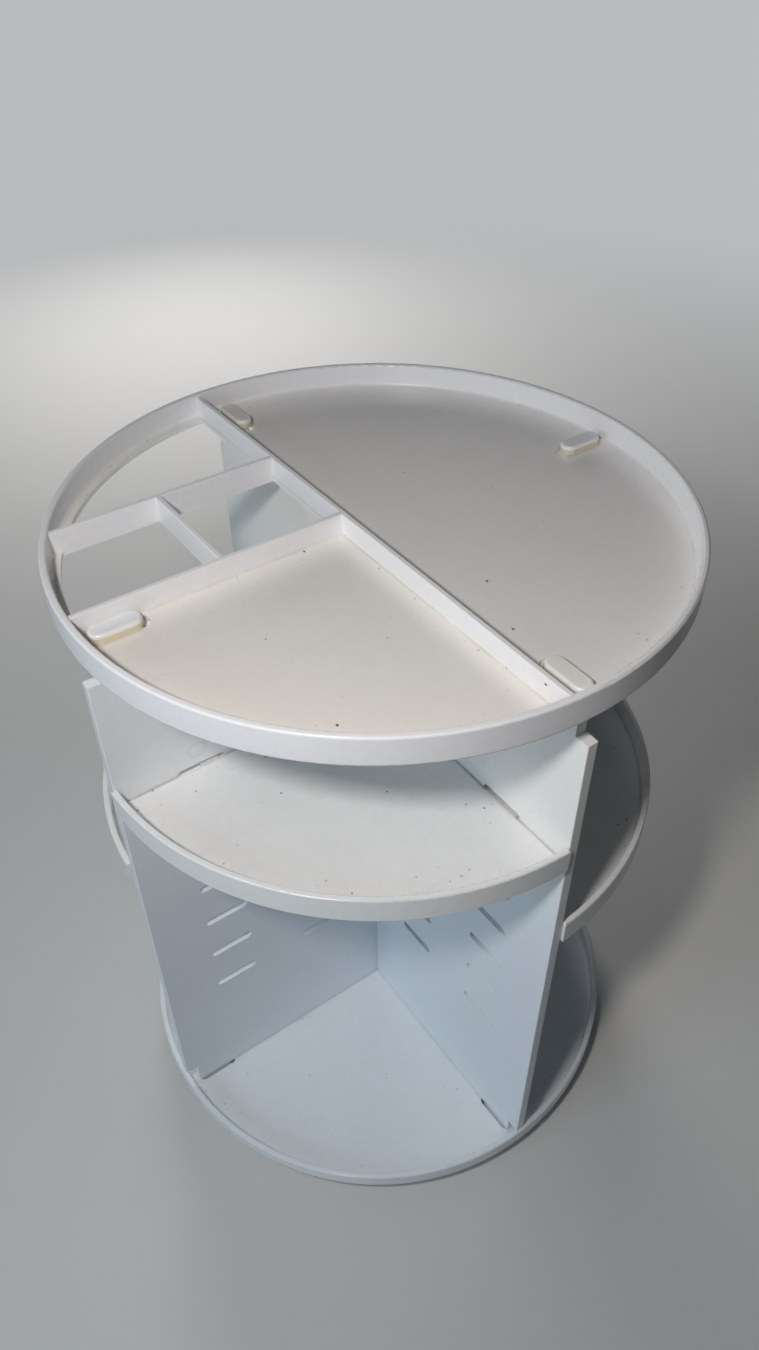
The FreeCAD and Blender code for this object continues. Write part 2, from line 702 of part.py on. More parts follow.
def write(pieces):
    """Check every object of the document, then write each sub-part to its own file."""
    DOC.recompute()
    for item in DOC.Objects:
        if "Invalid" in item.State or "Error" in item.State:
            raise RuntimeError(f"{item.Label} failed: {item.State}")
    for piece in pieces:
        if piece.Shape.isNull() or not piece.Shape.isValid():
            raise RuntimeError(f"{piece.Label} has no valid shape")
    os.makedirs("parts", exist_ok=True)
    for piece in pieces:
        piece.Shape.exportStep(f"parts/{piece.Label}.step")
        box = piece.Shape.BoundBox
        print(f"{piece.Label}: {len(piece.Shape.Solids)} solid(s), {piece.Shape.Volume / 1000:.2f} cm3,"
              f" z {box.ZMin:.2f} to {box.ZMax:.2f}")


UPRIGHT = FreeCAD.Rotation()
UPSIDE_DOWN_ACROSS = FreeCAD.Rotation(FreeCAD.Vector(0, 0, 1), 90) * FreeCAD.Rotation(
    FreeCAD.Vector(1, 0, 0), 180)

write(
    turntable_plate() + rubber_feet() + ball_cage() + bearing_balls()
    + retaining_washer() + pivot_screw() + base_tray()
    + cross_plate("cross_plate_left_right", UPRIGHT, d.corner_notch_height, d.corner_notch_height)
    + cross_plate("cross_plate_front_rear", UPSIDE_DOWN_ACROSS, d.foot_notch_height, d.corner_notch_height)
    + shelf("front_shelf", d.front_shelf_rows, 2)
    + shelf("right_shelf", d.side_shelf_rows, 3)
    + shelf("rear_shelf", d.side_shelf_rows, 0)
    + shelf("left_shelf", d.side_shelf_rows, 1)
    + top_tray()
)
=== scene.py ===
import math

import bmesh
import bpy
from mathutils import Matrix, Vector


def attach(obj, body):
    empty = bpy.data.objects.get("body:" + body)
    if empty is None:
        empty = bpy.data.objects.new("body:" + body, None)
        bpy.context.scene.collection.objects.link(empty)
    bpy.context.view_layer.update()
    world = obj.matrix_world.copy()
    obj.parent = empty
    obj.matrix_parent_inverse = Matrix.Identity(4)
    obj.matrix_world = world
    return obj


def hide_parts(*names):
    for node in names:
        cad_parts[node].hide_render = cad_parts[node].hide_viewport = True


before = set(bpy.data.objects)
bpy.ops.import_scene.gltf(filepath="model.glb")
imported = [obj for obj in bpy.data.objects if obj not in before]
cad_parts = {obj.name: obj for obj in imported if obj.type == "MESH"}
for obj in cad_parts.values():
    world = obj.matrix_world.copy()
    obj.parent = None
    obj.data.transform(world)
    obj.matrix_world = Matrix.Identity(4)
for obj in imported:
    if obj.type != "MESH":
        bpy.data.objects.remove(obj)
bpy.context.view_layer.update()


# Rubber feet: six round pads of soft dark rubber that keep the fixed plate from sliding. Each is
# moulded with a rolled edge and two raised rings on its tread, and is glued into a shallow seat
# under the plate.
MM = 0.001
FOOT_COUNT = 6
FOOT_CIRCLE = 62 * MM
FOOT_RADIUS = 6 * MM
FOOT_HEIGHT = 2 * MM
FOOT_STEPS = 48
FOOT_ROLL = 0.5 * MM
ROLL_STEPS = 4
TREAD_DEPTH = 0.35 * MM
TREAD_RINGS = (2.2 * MM, 4.2 * MM)
TREAD_LAND = 0.25 * MM
TREAD_SLOPE = 0.3 * MM
WELD_GAP = 0.001 * MM
CREASE_ANGLE = math.radians(50)


class Wire:
    """One socket of a node tree. Sums on it add Math nodes, and node() adds any other node."""

    def __init__(self, tree, socket=None):
        self.tree = tree
        self.socket = socket

    def node(self, kind, settings=None, sockets=None, out=0):
        made = self.tree.nodes.new(kind)
        for name, value in (settings or {}).items():
            setattr(made, name, value)
        for name, value in (sockets or {}).items():
            if isinstance(value, Wire):
                self.tree.links.new(value.socket, made.inputs[name])
            else:
                made.inputs[name].default_value = value
        return Wire(self.tree, made.outputs[out] if made.outputs else None)

    def math(self, operation, *values):
        return self.node("ShaderNodeMath", {"operation": operation}, dict(enumerate(values)))

    def vector(self, operation, *values, out="Vector"):
        settings = {"operation": operation}
        return self.node("ShaderNodeVectorMath", settings, dict(enumerate(values)), out)

    def __add__(self, other):
        return self.math("ADD", self, other)

    def __radd__(self, other):
        return self.math("ADD", other, self)

    def __sub__(self, other):
        return self.math("SUBTRACT", self, other)

    def __rsub__(self, other):
        return self.math("SUBTRACT", other, self)

    def __mul__(self, other):
        return self.math("MULTIPLY", self, other)

    def __abs__(self):
        return self.math("ABSOLUTE", self)

    def root(self):
        return self.math("SQRT", self)

    def least(self, other):
        return self.math("MINIMUM", self, other)

    def most(self, other):
        return self.math("MAXIMUM", self, other)

    def axes(self):
        """The three parts of a place, as separate values."""
        return [self.node("ShaderNodeSeparateXYZ", {}, {0: self}, out) for out in range(3)]

    def from_axis(self):
        """The distance from the part's upright axis."""
        return self.vector("LENGTH", self.vector("MULTIPLY", self, (1, 1, 0)), out="Value")

    def fade(self, start, stop):
        """0 at start and 1 at stop, smooth between them and level outside."""
        return self.node(
            "ShaderNodeMapRange", {"interpolation_type": "SMOOTHSTEP"},
            {"Value": self, "From Min": start, "From Max": stop})

    def between(self, first, second):
        """The first colour where this is 0, the second where it is 1."""
        return self.node("ShaderNodeMix", {"data_type": "RGBA"}, {0: self, 6: first, 7: second}, 2)

    def noise(self, per_metre, detail=3.0, roughness=0.5):
        return self.node(
            "ShaderNodeTexNoise", {},
            {"Vector": self, "Scale": per_metre, "Detail": detail, "Roughness": roughness})


def seen(red, green, blue):
    """A colour as the eye sees it on a screen, 0 to 255, in the values that a shader takes."""
    def one(value):
        value /= 255
        return value / 12.92 if value <= 0.04045 else ((value + 0.055) / 1.055) ** 2.4
    return one(red), one(green), one(blue), 1.0


def open_finish(name):
    """A new material, and the place on the part that its pattern follows."""
    material = bpy.data.materials.new(name)
    material.use_nodes = True
    return material, Wire(material.node_tree).node("ShaderNodeTexCoord", out="Object")


def close_finish(place, height, **sockets):
    """Join what varies to the surface shader and set what doesn't; height is a relief in metres."""
    surface = place.tree.nodes["Principled BSDF"]
    relief = place.node("ShaderNodeBump", {}, {"Height": height, "Strength": 1.0, "Distance": 1.0})
    for name, value in {"Normal": relief, **sockets}.items():
        socket = surface.inputs[name.replace("_", " ")]
        if isinstance(value, Wire):
            place.tree.links.new(value.socket, socket)
        else:
            socket.default_value = value


def turned_mesh(name, section, steps):
    """A closed mesh from half a section, radius and height, turned round the upright axis."""
    shape = bmesh.new()
    points = [shape.verts.new((radius, 0, height)) for radius, height in section]
    lines = [shape.edges.new(pair) for pair in zip(points, points[1:])]
    bmesh.ops.spin(
        shape, geom=points + lines, cent=(0, 0, 0), axis=(0, 0, 1), angle=math.tau, steps=steps)
    bmesh.ops.remove_doubles(shape, verts=shape.verts, dist=WELD_GAP)
    bmesh.ops.recalc_face_normals(shape, faces=shape.faces)
    mesh = bpy.data.meshes.new(name)
    shape.to_mesh(mesh)
    shape.free()
    mesh.shade_smooth()
    mesh.set_sharp_from_angle(angle=CREASE_ANGLE)
    return mesh


def circle_tree():
    """Geometry Nodes that set out copies of one mesh evenly on a circle."""
    tree = bpy.data.node_groups.new("set_out_on_circle", "GeometryNodeTree")
    inputs = {
        "One": "NodeSocketGeometry", "Count": "NodeSocketInt", "Circle": "NodeSocketFloat",
        "Finish": "NodeSocketMaterial"}
    for name, kind in inputs.items():
        tree.interface.new_socket(name, in_out="INPUT", socket_type=kind)
    tree.interface.new_socket("All", in_out="OUTPUT", socket_type="NodeSocketGeometry")
    given = {name: Wire(tree).node("NodeGroupInput", out=name) for name in inputs}
    seats = Wire(tree).node(
        "GeometryNodeMeshCircle", {}, {"Vertices": given["Count"], "Radius": given["Circle"]})
    copies = seats.node(
        "GeometryNodeInstanceOnPoints", {}, {"Points": seats, "Instance": given["One"]})
    solid = copies.node("GeometryNodeRealizeInstances", {}, {"Geometry": copies})
    finished = solid.node(
        "GeometryNodeSetMaterial", {}, {"Geometry": solid, "Material": given["Finish"]})
    finished.node("NodeGroupOutput", {}, {"All": finished})
    return tree


ON_CIRCLE = circle_tree()


def set_out(name, one, count, circle, finish):
    """A piece made of copies of one mesh on a circle, as a plain mesh."""
    piece = bpy.data.objects.new(name, one)
    bpy.context.scene.collection.objects.link(piece)
    modifier = piece.modifiers.new("set_out", "NODES")
    modifier.node_group = ON_CIRCLE
    sizes = {"Count": count, "Circle": circle, "Finish": finish}
    for item in ON_CIRCLE.interface.items_tree:
        if item.name in sizes:
            modifier[item.identifier] = sizes[item.name]
    graph = bpy.context.evaluated_depsgraph_get()
    copies = bpy.data.meshes.new_from_object(piece.evaluated_get(graph))
    piece.modifiers.remove(modifier)
    piece.data = copies
    copies.name = name
    return piece


RUBBER_DARK, RUBBER_BLOOM = seen(44, 43, 42), seen(96, 93, 88)
CHALK_RELIEF = 0.03 * MM

rubber, place = open_finish("soft_rubber")
chalk = place.noise(per_metre=900.0, detail=6.0, roughness=0.65)
bloom = place.noise(per_metre=160.0)
bloomed = chalk.fade(0.5, 0.8) * 0.5 + bloom.fade(0.5, 0.75) * 0.25
close_finish(
    place, chalk * CHALK_RELIEF,
    Base_Color=bloomed.between(RUBBER_DARK, RUBBER_BLOOM),
    Roughness=0.7 + chalk * 0.2)

foot_section = [(0, TREAD_DEPTH)]
for ring in TREAD_RINGS:
    foot_section += [
        (ring - TREAD_LAND - TREAD_SLOPE, TREAD_DEPTH), (ring - TREAD_LAND, 0),
        (ring + TREAD_LAND, 0), (ring + TREAD_LAND + TREAD_SLOPE, TREAD_DEPTH)]
for step in range(ROLL_STEPS + 1):
    turn = math.pi / 2 * step / ROLL_STEPS
    foot_section.append((
        FOOT_RADIUS - FOOT_ROLL * (1 - math.sin(turn)),
        TREAD_DEPTH + FOOT_ROLL * (1 - math.cos(turn))))
foot_section += [(FOOT_RADIUS, FOOT_HEIGHT), (0, FOOT_HEIGHT)]
one_foot = turned_mesh("rubber_foot", foot_section, FOOT_STEPS)
rubber_feet = set_out("rubber_feet", one_foot, FOOT_COUNT, FOOT_CIRCLE, rubber)
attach(rubber_feet, "base")
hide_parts(*[f"rubber_foot_{number}" for number in range(1, FOOT_COUNT + 1)])


# Turntable plate: the fixed round plate that stands on the feet. It is moulded in matte white
# plastic, with seats for the feet, a groove for the balls and a collar round the pivot.
MATTE_WHITE, MATTE_SOILED = seen(212, 212, 209), seen(190, 188, 180)
MATTE_RELIEF = 0.012 * MM

matte, place = open_finish("matte_moulding")
mottle = place.noise(per_metre=45.0, detail=4.0)
grain = place.noise(per_metre=2400.0, detail=2.0)
close_finish(
    place, grain * MATTE_RELIEF,
    Base_Color=(mottle.fade(0.45, 0.75) * 0.6).between(MATTE_WHITE, MATTE_SOILED),
    Roughness=0.5 + mottle * 0.15)
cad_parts["turntable_plate"].data.materials[0] = matte


# Ball cage and balls: a flat ring of natural nylon keeps twenty steel balls apart in the groove.
# The balls are polished, and a film of old grease dulls them in patches.
BALL_COUNT = 20
BALL_CIRCLE = 46 * MM
BALL_RADIUS = 2.5 * MM
BALL_HEIGHT = 6.75 * MM
BALL_SPLITS = 4
NYLON_PALE, NYLON_AGED = seen(214, 208, 190), seen(186, 172, 138)
NYLON_RELIEF = 0.01 * MM
BALL_BRIGHT, BALL_GREASED = seen(196, 198, 200), seen(132, 118, 92)
FILM_RELIEF = 0.004 * MM

nylon, place = open_finish("natural_nylon")
haze = place.noise(per_metre=120.0, detail=4.0)
close_finish(
    place, place.noise(per_metre=1500.0) * NYLON_RELIEF,
    Base_Color=(haze.fade(0.4, 0.8) * 0.7).between(NYLON_PALE, NYLON_AGED),
    Roughness=0.42 + haze * 0.2)
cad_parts["ball_cage"].data.materials[0] = nylon

ball_steel, place = open_finish("bearing_steel")
film = place.noise(per_metre=420.0, detail=5.0, roughness=0.6)
close_finish(
    place, film * FILM_RELIEF,
    Base_Color=(film.fade(0.55, 0.85) * 0.6).between(BALL_BRIGHT, BALL_GREASED),
    Roughness=0.12 + film.fade(0.45, 0.8) * 0.3,
    Metallic=1.0)

ball = bmesh.new()
bmesh.ops.create_icosphere(
    ball, subdivisions=BALL_SPLITS, radius=BALL_RADIUS,
    matrix=Matrix.Translation((0, 0, BALL_HEIGHT)))
one_ball = bpy.data.meshes.new("bearing_ball")
ball.to_mesh(one_ball)
ball.free()
one_ball.shade_smooth()
polished_balls = set_out("polished_balls", one_ball, BALL_COUNT, BALL_CIRCLE, ball_steel)
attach(polished_balls, "cage")
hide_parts("bearing_balls")


# Washer and pivot screw: zinc-plated steel. The screw is driven up into the base tray's hub from
# below, and the washer under its head keeps the tray from lifting off the plate.
ZINC_BRIGHT, ZINC_DULL = seen(178, 182, 186), seen(150, 142, 120)
LATHE_LINES_PER_METRE = 5200.0
LATHE_RELIEF = 0.006 * MM

zinc, place = open_finish("zinc_plate")
lathe_lines = place.node(
    "ShaderNodeTexNoise", {"noise_dimensions": "1D"},
    {"W": place.from_axis(), "Scale": LATHE_LINES_PER_METRE, "Detail": 2.0})
spangle = place.noise(per_metre=700.0)
close_finish(
    place, lathe_lines * LATHE_RELIEF,
    Base_Color=(spangle.fade(0.5, 0.8) * 0.5).between(ZINC_BRIGHT, ZINC_DULL),
    Roughness=0.28 + lathe_lines * 0.14 + spangle * 0.08,
    Metallic=1.0)
for name in ("retaining_washer", "pivot_screw"):
    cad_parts[name].data.materials[0] = zinc


# Base tray: the round tray that turns on the balls. It is injection-moulded in glossy white plastic
# with a low rim, and has slots where the crossed plates snap in. Use has left dust and smears. The
# floor is painted darker where it meets the rim and the plates: painted shade, with a little grime.
BASE_FLOOR = 11 * MM
TRAY_BORE = 112.4 * MM
PLATE_HALF = 2.1 * MM
BASE_WHITE, BASE_AGED = seen(246, 249, 252), seen(241, 245, 250)
BASE_DIRT_AND_SHADE = 0.6
PLASTIC_IOR = 1.53
PLASTIC_ROUGHNESS = 0.22
WAVE_RELIEF = 0.06 * MM
GRAIN_RELIEF = 0.003 * MM
SCRATCH_DEPTH = 0.002 * MM
MOTTLE = seen(226, 224, 219)
DUST = seen(170, 168, 165)
SHADE_AND_GRIME = seen(150, 142, 128)
FINE_DIRT = seen(128, 122, 114)
COARSE_DIRT = seen(96, 88, 80)
SWIRLS_PER_METRE = 1700.0
SWIRL_REACH = 0.5 * MM


def floor_mask(place, height, reach):
    """1 on the floor at this height and within this reach of the axis, 0 elsewhere."""
    level = 1 - abs(place.axes()[2] - height).fade(0.2 * MM, 0.6 * MM)
    return level * (1 - place.from_axis().fade(reach, reach + 0.5 * MM))


def specks(place, per_metre, share, smallest, largest):
    """Scattered grains of dirt: how many cells a metre, the share that hold one, and their radii."""
    swirl = place.node(
        "ShaderNodeTexNoise", {}, {"Vector": place, "Scale": SWIRLS_PER_METRE}, "Color")
    ragged = place.vector("ADD", place, swirl.node(
        "ShaderNodeVectorMath", {"operation": "SCALE"}, {0: swirl, "Scale": SWIRL_REACH}))
    settings, sockets = {"voronoi_dimensions": "2D"}, {"Vector": ragged, "Scale": per_metre}
    gap = place.node("ShaderNodeTexVoronoi", settings, sockets, "Distance")
    draw = place.node("ShaderNodeTexVoronoi", settings, sockets, "Color")
    luck = draw.node("ShaderNodeSeparateColor", {}, {0: draw})
    radius = smallest * per_metre + luck.fade(1 - share, 1) * ((largest - smallest) * per_metre)
    return (radius - gap).fade(0, smallest * per_metre) * luck.fade(1 - share, 1 - share + 0.02)


def brushed(place, turn, along, across):
    """Noise drawn out in one direction on the floor, as a cloth or a box leaves it."""
    drawn = place.node(
        "ShaderNodeMapping", {},
        {"Vector": place, "Rotation": (0, 0, math.radians(turn)), "Scale": (along, across, along)})
    return drawn.noise(per_metre=1.0, roughness=0.6)


def aged_white(place, white, aged, floor, wall_gap, dirt_and_shade):
    """Colour, roughness and relief of the white plastic: two whites that it drifts between, a mask
    of its floors, the distance to the nearest wall, and how strong its dirt and painted shade are."""
    cloud = place.noise(per_metre=55.0, detail=5.0, roughness=0.6)
    wear = cloud.fade(0.5, 0.75)
    smears = brushed(place, turn=38, along=16.0, across=190.0).fade(0.55, 0.8)
    scratches = (
        brushed(place, turn=20, along=22.0, across=2400.0).fade(0.66, 0.74)
        + brushed(place, turn=-52, along=22.0, across=2100.0).fade(0.67, 0.75))

    colour = (place.noise(per_metre=13.0).fade(0.35, 0.65) * 0.8).between(white, aged)
    mottle = place.noise(per_metre=420.0, detail=2.0).fade(0.35, 0.7)
    colour = (mottle * 0.12).between(colour, MOTTLE)
    soiled = wear * 0.025 + smears * 0.03 + scratches * 0.02
    colour = (floor * soiled * dirt_and_shade).between(colour, DUST)
    # Painted shade: a darker band on the floor at the foot of each wall stands for the shade there,
    # with a little grime mixed in.
    by_foot = 1 - wall_gap.fade(0.2 * MM, 1.5 * MM)
    shade_and_grime = by_foot * floor * (0.3 + cloud.fade(0.35, 0.7) * 0.7)
    colour = (shade_and_grime * 0.28 * dirt_and_shade).between(colour, SHADE_AND_GRIME)
    by_wall = 1 - wall_gap.fade(2 * MM, 20 * MM)
    gathered = wear * 0.3 + by_wall * cloud.fade(0.42, 0.56)
    fine = specks(place, per_metre=240.0, share=0.25, smallest=0.25 * MM, largest=0.6 * MM) * gathered
    colour = (fine.least(1) * floor * 0.55 * dirt_and_shade).between(colour, FINE_DIRT)
    coarse = specks(place, per_metre=95.0, share=0.1, smallest=0.2 * MM, largest=0.42 * MM)
    colour = (coarse * floor * 0.9 * dirt_and_shade).between(colour, COARSE_DIRT)

    grain = place.noise(per_metre=1900.0, detail=2.0)
    dulled = wear * 0.012 + smears * 0.02 + scratches * 0.03
    rough = PLASTIC_ROUGHNESS + floor * dulled + grain * 0.05
    waves = place.noise(per_metre=28.0, detail=2.0)
    relief = waves * WAVE_RELIEF + grain * GRAIN_RELIEF - scratches * floor * SCRATCH_DEPTH
    return colour, rough, relief


base_white, place = open_finish("base_white")
x, y, z = place.axes()
floor = floor_mask(place, BASE_FLOOR, TRAY_BORE)
wall_gap = (TRAY_BORE - place.from_axis()).least(abs(x).least(abs(y)) - PLATE_HALF)
colour, rough, relief = aged_white(place, BASE_WHITE, BASE_AGED, floor, wall_gap, BASE_DIRT_AND_SHADE)
close_finish(place, relief, Base_Color=colour, Roughness=rough, IOR=PLASTIC_IOR)
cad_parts["base_tray"].data.materials[0] = base_white


# Crossed plates: two white mouldings with rows of shelf slots, halved into each other at the axis.
# Their tenons snap through both trays. Their whites are painted light: below the shelf both are
# painted a cool blue white for the cool light there, and above it the front-to-rear one is painted
# warmer and the left-to-right one cooler, for the light on each. Their feet are painted darker as
# shade where they stand in the base tray, and the sides of the upper heads have yellowed.
PLATE_TOP = 288 * MM
PLATE_DIRT_AND_SHADE = 1.0
COOL_BELOW = 160 * MM
NEUTRAL_ABOVE = 230 * MM
COOL_LIT_WHITE, COOL_LIT_AGED = seen(242, 248, 254), seen(238, 244, 251)
WARM_TINT_WHITE, WARM_TINT_AGED = seen(250, 248, 244), seen(246, 244, 239)
COOL_TINT_WHITE, COOL_TINT_AGED = seen(246, 248, 251), seen(242, 244, 248)
FOOT_SHADE = seen(150, 150, 148)
FOOT_SHADE_HEIGHT = 2.5 * MM
EJECTOR_MARKS = (
    (-80.7 * MM, 227 * MM), (-45.8 * MM, 55.4 * MM), (45.8 * MM, 55.4 * MM), (80.7 * MM, 227 * MM))
EJECTOR_RADIUS = 3.9 * MM
EJECTOR_GREY = seen(182, 182, 182)
EJECTOR_DEPTH = 0.02 * MM
HEAD_FOOT = 290.1 * MM
HEAD_SHOULDER = 291.9 * MM
LEAST_YELLOWED = -90 * MM
HEAD_YELLOW = seen(222, 208, 176)

plate_white, place = open_finish("plate_white")
x, y, z = place.axes()
# Painted light: a cool blue white below the shelf, and above it a warmer white on the front-to-rear
# plate and a cooler one on the left-to-right plate, tints of the light on each.
near_top = z.fade(COOL_BELOW, NEUTRAL_ABOVE)
on_left_right = 1 - abs(y).fade(PLATE_HALF, PLATE_HALF + MM)
colour, rough, relief = aged_white(
    place, near_top.between(COOL_LIT_WHITE, on_left_right.between(WARM_TINT_WHITE, COOL_TINT_WHITE)),
    near_top.between(COOL_LIT_AGED, on_left_right.between(WARM_TINT_AGED, COOL_TINT_AGED)),
    floor_mask(place, PLATE_TOP, TRAY_BORE), abs(z - BASE_FLOOR), PLATE_DIRT_AND_SHADE)
# Painted shade: the plates darken towards their feet, for the shade where they stand in the base
# tray.
foot_shade = 1 - z.fade(BASE_FLOOR, BASE_FLOOR + FOOT_SHADE_HEIGHT)
colour = (foot_shade * 0.2).between(colour, FOOT_SHADE)
for along, up in EJECTOR_MARKS:
    mark = place.vector("DISTANCE", place, (along, 0, up), out="Value")
    ring = (1 - abs(mark - EJECTOR_RADIUS).fade(0.1 * MM, 0.5 * MM)) * on_left_right
    colour = (ring * 0.16).between(colour, EJECTOR_GREY)
    relief = relief - ring * EJECTOR_DEPTH
above_foot = z.fade(HEAD_FOOT - 0.2 * MM, HEAD_FOOT)
below_shoulder = 1 - z.fade(HEAD_SHOULDER, HEAD_SHOULDER + 0.3 * MM)
toward_rear = y.fade(LEAST_YELLOWED, LEAST_YELLOWED + 30 * MM)
yellowing = 0.3 + toward_rear * 0.45 + place.noise(per_metre=260.0, detail=4.0) * 0.2
colour = (above_foot * below_shoulder * yellowing).between(colour, HEAD_YELLOW)
close_finish(place, relief, Base_Color=colour, Roughness=rough, IOR=PLASTIC_IOR)
for name in ("cross_plate_left_right", "cross_plate_front_rear"):
    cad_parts[name].data.materials[0] = plate_white


# Shelves: four quarter-round white mouldings with a rim on the arc. Two tabs on each straight side
# hook into the plates' slots, so that each shelf can hang at any row.
SHELF_BORE = 112.6 * MM
SHELF_FLOORS = {
    "front_shelf": 218.2 * MM, "right_shelf": 172.4 * MM, "rear_shelf": 172.4 * MM,
    "left_shelf": 172.4 * MM}
SHELF_WHITE, SHELF_AGED = seen(248, 248, 247), seen(244, 244, 243)
SHELF_DIRT_AND_SHADE = 1.5

for name, height in SHELF_FLOORS.items():
    shelf_white, place = open_finish(f"{name}_white")
    x, y, z = place.axes()
    floor = floor_mask(place, height, SHELF_BORE)
    wall_gap = (SHELF_BORE - place.from_axis()).least(abs(x).least(abs(y)) - PLATE_HALF)
    # The floor is painted darker at the foot of the rim and the plates: painted shade, with a little
    # grime.
    colour, rough, relief = aged_white(place, SHELF_WHITE, SHELF_AGED, floor, wall_gap, SHELF_DIRT_AND_SHADE)
    close_finish(place, relief, Base_Color=colour, Roughness=rough, IOR=PLASTIC_IOR)
    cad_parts[name].data.materials[0] = shelf_white


# Top tray: the round white tray that snaps onto the plates. Dividers part a large shallow tray and
# a small one from the open cells, where brushes stand on the shelf below. The small one has
# yellowed most. The floor is painted darker round the heads of the plates and at the foot of the
# rim and dividers: painted shade, with some dirt.
TRAY_FLOOR = 290 * MM
TRAY_WHITE, TRAY_AGED = seen(249, 247, 248), seen(245, 243, 245)
YELLOWED_WHITE, YELLOWED_AGED = seen(249, 245, 239), seen(245, 240, 233)
TRAY_DIRT_AND_SHADE = 0.7
DIVIDER_HALF = 1 * MM
LONG_DIVIDER = -10.3 * MM
NEAR_DIVIDER = 4.8 * MM
HEAD_MIDDLE = 99.8 * MM
HEAD_STRAIGHT = 5.6 * MM
HEAD_HALF_WIDTH = 3.7 * MM
HEAD_SHADE_AND_GRIME = seen(168, 150, 118)
CRUMBS = (
    (-28.2, 2.4, 290), (-66.5, -75.8, 290), (-11.3, -101.8, 295.6), (12.2, -47.8, 290),
    (2.6, -72.1, 290))
CRUMB_RADIUS = 0.5 * MM
CRUMB_STRETCH = Vector((1, 0.7, 1))
CRUMB_BROWN = seen(62, 55, 48)


def head_gap(place):
    """Distance outside the round-ended heads that stand on the four arms of the cross."""
    x, y, z = place.axes()
    along, across = abs(x).most(abs(y)), abs(x).least(abs(y))
    past_end = (abs(along - HEAD_MIDDLE) - HEAD_STRAIGHT).most(0)
    return (past_end * past_end + across * across).root() - HEAD_HALF_WIDTH


top_white, place = open_finish("top_white")
x, y, z = place.axes()
wall_gap = (TRAY_BORE - place.from_axis()).least(abs(x - LONG_DIVIDER) - DIVIDER_HALF)
wall_gap = wall_gap.least((abs(y - NEAR_DIVIDER) - DIVIDER_HALF).most(x - LONG_DIVIDER))
floor = floor_mask(place, TRAY_FLOOR, TRAY_BORE)
yellowed = floor * (1 - x.fade(LONG_DIVIDER - DIVIDER_HALF, LONG_DIVIDER) * 0.45)
colour, rough, relief = aged_white(
    place, yellowed.between(TRAY_WHITE, YELLOWED_WHITE), yellowed.between(TRAY_AGED, YELLOWED_AGED),
    floor, wall_gap, TRAY_DIRT_AND_SHADE)
# Painted shade with some dirt: a darker ring on the floor round the foot of each head.
by_heads = 1 - head_gap(place).fade(0.1 * MM, 1.6 * MM)
colour = (by_heads * floor * 0.4).between(colour, HEAD_SHADE_AND_GRIME)
for spot in CRUMBS:
    stretched = place.vector("MULTIPLY", place, CRUMB_STRETCH)
    gap = place.vector("DISTANCE", stretched, Vector(spot) * CRUMB_STRETCH * MM, out="Value")
    crumb = 1 - gap.fade(CRUMB_RADIUS * 0.6, CRUMB_RADIUS)
    colour = (crumb * 0.9).between(colour, CRUMB_BROWN)
close_finish(place, relief, Base_Color=colour, Roughness=rough, IOR=PLASTIC_IOR)
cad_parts["top_tray"].data.materials[0] = top_white


# Stage: a plain pale table, a soft lamp beside the camera with a cool one from the left and a wide
# one behind, and the camera where the photograph was taken.
TABLE_REACH = 6.0
TABLE_FRONT = 217 * MM
TABLE_EDGE = 20 * MM
FRONT_FACING = (-0.247, -0.969, 0)
TABLE_PALE, TABLE_SHADE = seen(232, 231, 228), seen(226, 225, 222)
TABLE_RELIEF = 0.05 * MM
SHADE_PAST_TABLE = seen(60, 60, 60)
BACKGROUND = seen(186, 187, 188)
BACKGROUND_FROM, BACKGROUND_BY = 0.35, 1.3
ROOM_TINT = (0.76, 0.89, 1.0, 1.0)
ROOM_LIGHT = 0.05
LENS = 27.427
SENSOR_HEIGHT = 36.0
CAMERA_SPOT = (-177.07 * MM, -253.62 * MM, 495.15 * MM)
CAMERA_TURN = math.radians(-35.19)
CAMERA_TILT = math.radians(90 - 41.68)
CAMERA_ROLL = math.radians(-0.306)

table_mesh = bpy.data.meshes.new("table")
table_mesh.from_pydata(
    [(-TABLE_REACH, -TABLE_REACH, 0), (TABLE_REACH, -TABLE_REACH, 0), (TABLE_REACH, TABLE_REACH, 0),
     (-TABLE_REACH, TABLE_REACH, 0)], [], [(0, 1, 2, 3)])
table = bpy.data.objects.new("table", table_mesh)
bpy.context.scene.collection.objects.link(table)

tabletop, place = open_finish("tabletop")
sheen = place.noise(per_metre=9.0, detail=4.0)
# Painted shade: past the table's front edge the floor is dark, for the drop beyond the edge; the
# camera sees the pale backdrop there instead.
to_front = place.vector("DOT_PRODUCT", place, FRONT_FACING, out="Value")
past_front = to_front.fade(TABLE_FRONT, TABLE_FRONT + TABLE_EDGE)
close_finish(
    place, sheen * TABLE_RELIEF,
    Base_Color=past_front.between(sheen.between(TABLE_PALE, TABLE_SHADE), SHADE_PAST_TABLE),
    Roughness=0.26 + sheen * 0.08)
nodes = tabletop.node_tree.nodes
direct = place.node("ShaderNodeLightPath", out="Is Camera Ray")
mirrored = place.node("ShaderNodeLightPath", out="Is Glossy Ray")
away = place.from_axis().fade(BACKGROUND_FROM, BACKGROUND_BY).most(past_front)
pale = place.node("ShaderNodeEmission", {}, {"Color": BACKGROUND, "Strength": 1.0})
lit = Wire(tabletop.node_tree, nodes["Principled BSDF"].outputs[0])
shown = place.node("ShaderNodeMixShader", {}, {0: away * direct.most(mirrored), 1: lit, 2: pale})
tabletop.node_tree.links.new(shown.socket, nodes["Material Output"].inputs["Surface"])
table_mesh.materials.append(tabletop)

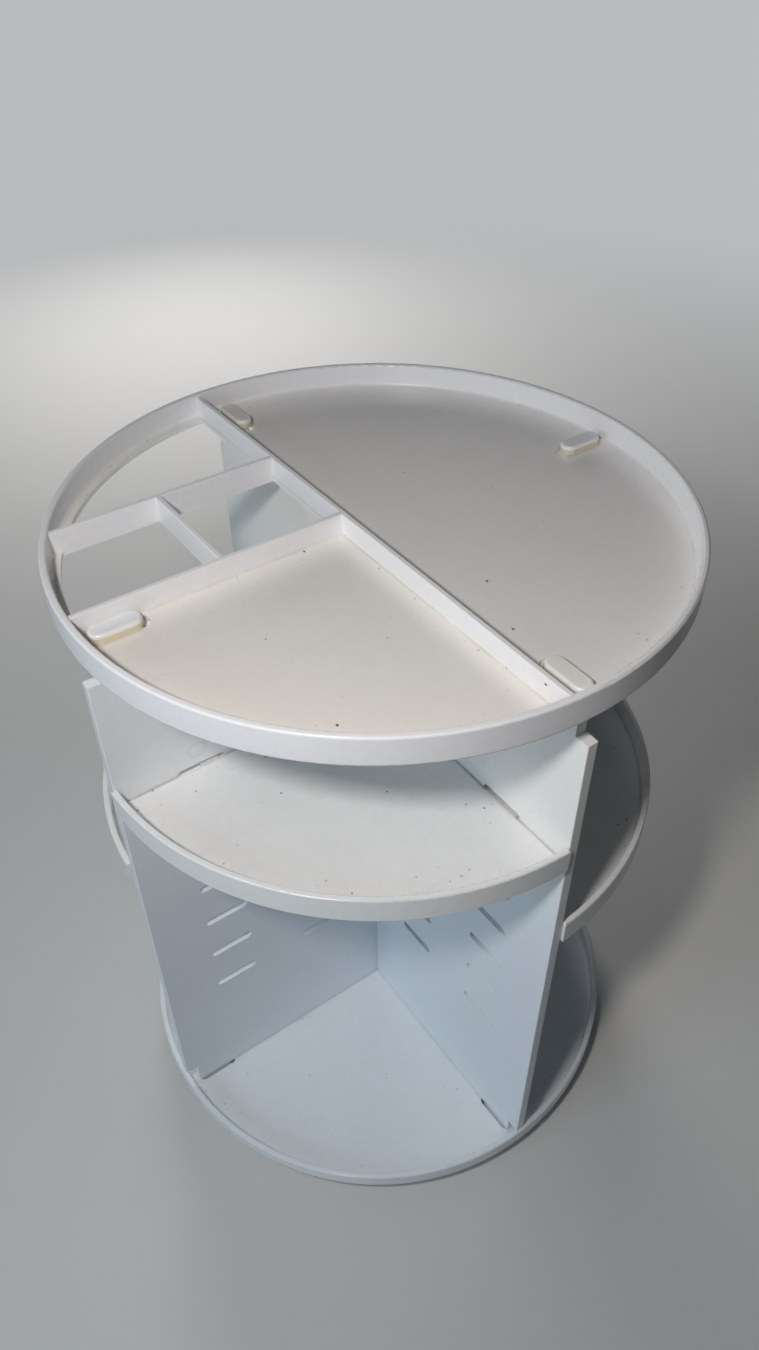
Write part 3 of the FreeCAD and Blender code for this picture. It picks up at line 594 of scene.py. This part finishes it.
world = bpy.data.worlds.new("room")
world.use_nodes = True
bpy.context.scene.world = world
room = Wire(world.node_tree)
direct = room.node("ShaderNodeLightPath", out="Is Camera Ray")
soft = room.node("ShaderNodeBackground", {}, {"Color": ROOM_TINT, "Strength": ROOM_LIGHT})
pale = room.node("ShaderNodeBackground", {}, {"Color": BACKGROUND, "Strength": 1.0})
shown = room.node("ShaderNodeMixShader", {}, {0: direct, 1: soft, 2: pale})
world.node_tree.links.new(shown.socket, world.node_tree.nodes["World Output"].inputs["Surface"])


def soft_lamp(name, spot, aim, width, watts, colour):
    """A round lamp aimed at a spot on the part. Only the key lamp mirrors in the plastic."""
    data = bpy.data.lights.new(name, "AREA")
    data.shape = "DISK"
    data.size = width
    data.energy = watts
    data.color = colour
    lamp = bpy.data.objects.new(name, data)
    lamp.location = spot
    lamp.rotation_euler = (Vector(aim) - Vector(spot)).to_track_quat("-Z", "Y").to_euler()
    lamp.visible_camera = False
    lamp.visible_glossy = name == "key"
    bpy.context.scene.collection.objects.link(lamp)


soft_lamp(
    "key", spot=(-0.238, -0.188, 0.538), aim=(-0.01, -0.02, 0.20), width=0.04, watts=0.83,
    colour=(1.0, 0.965, 0.94))
soft_lamp(
    "side", spot=(-0.89, -0.1, 0.45), aim=(0.0, 0.0, 0.10), width=0.5, watts=1.9,
    colour=(0.62, 0.83, 1.0))
soft_lamp(
    "back", spot=(0.42, 1.05, 0.38), aim=(0.0, 0.0, 0.12), width=0.6, watts=6.0,
    colour=(1.0, 0.98, 0.96))

camera_data = bpy.data.cameras.new("camera")
camera_data.sensor_fit = "VERTICAL"
camera_data.sensor_height = SENSOR_HEIGHT
camera_data.lens = LENS
camera = bpy.data.objects.new("camera", camera_data)
camera.matrix_world = (
    Matrix.Translation(CAMERA_SPOT)
    @ Matrix.Rotation(CAMERA_TURN, 4, "Z")
    @ Matrix.Rotation(CAMERA_TILT, 4, "X")
    @ Matrix.Rotation(CAMERA_ROLL, 4, "Z"))
bpy.context.scene.collection.objects.link(camera)
bpy.context.scene.camera = camera
bpy.context.scene.view_settings.view_transform = "Standard"
